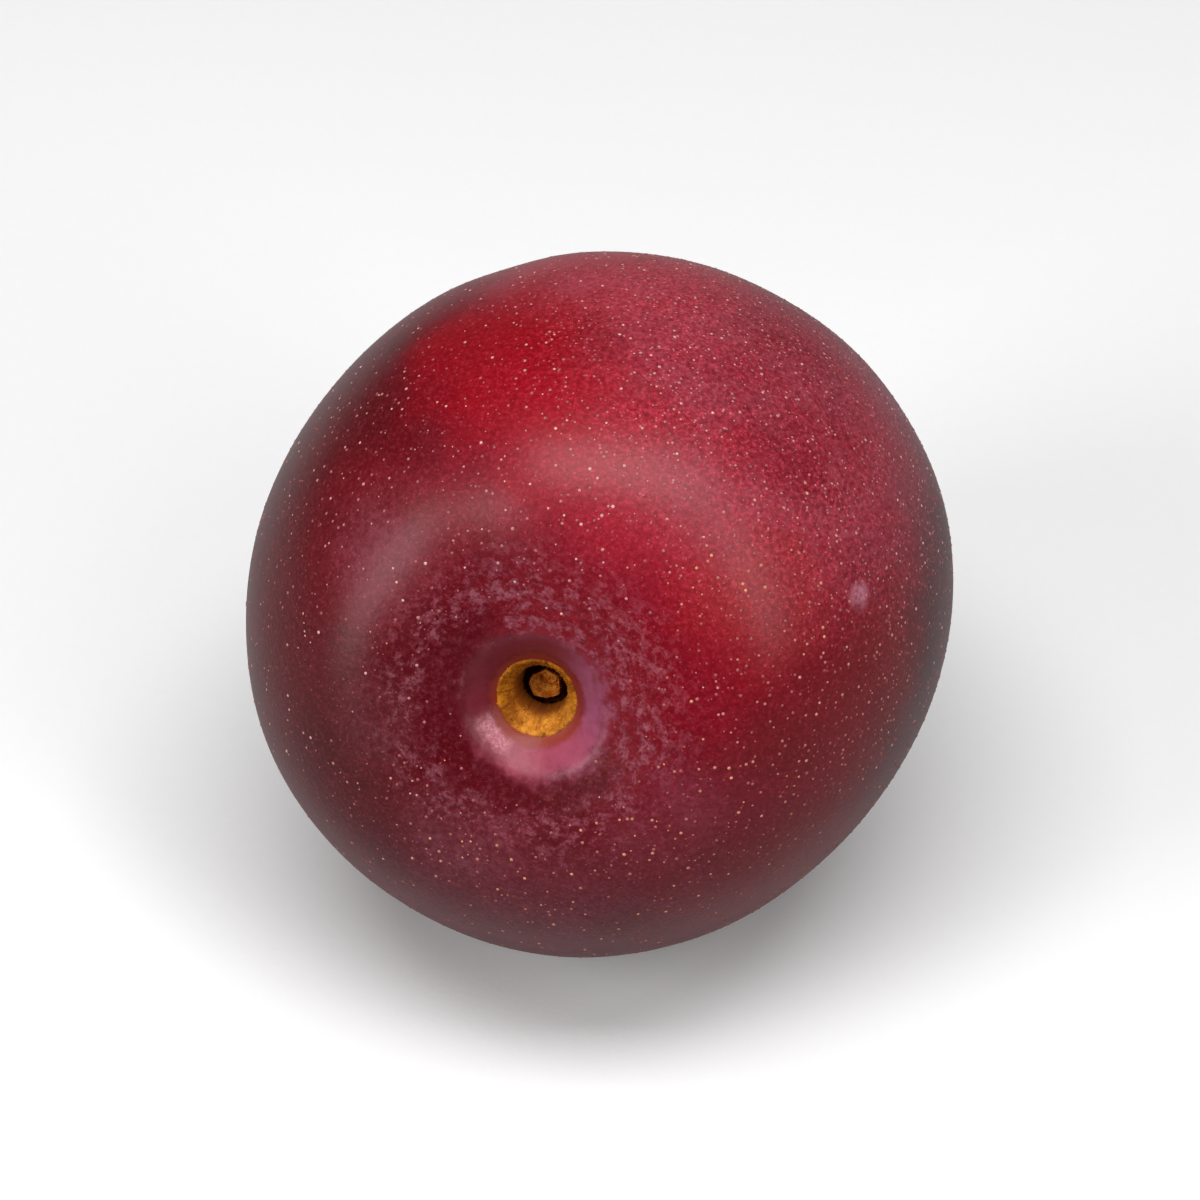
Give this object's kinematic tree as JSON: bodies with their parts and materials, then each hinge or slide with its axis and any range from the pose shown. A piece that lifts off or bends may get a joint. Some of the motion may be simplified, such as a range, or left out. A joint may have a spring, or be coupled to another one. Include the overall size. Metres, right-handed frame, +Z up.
{
  "type": "indian plum",
  "caption": "Round stone fruit lying on its side, with a sunken stalk end, a shallow suture and the broken stalk in a corky funnel.",
  "frame": {"origin": "middle of the fruit's footprint, on the surface that it rests on", "axes": "+Z up; the stalk end faces -Y and 24 degrees up; +X to the right as seen from the stalk end"},
  "size_m": [0.054, 0.054, 0.0541],
  "materials": {
    "plum_skin": "satin, waxy, with a thin pale bloom",
    "dry_stalk": "dull, dry and fibrous"
  },
  "bodies": {
    "root": {"fruit": "plum_skin", "stalk_stub": "dry_stalk"}
  },
  "joints": []
}
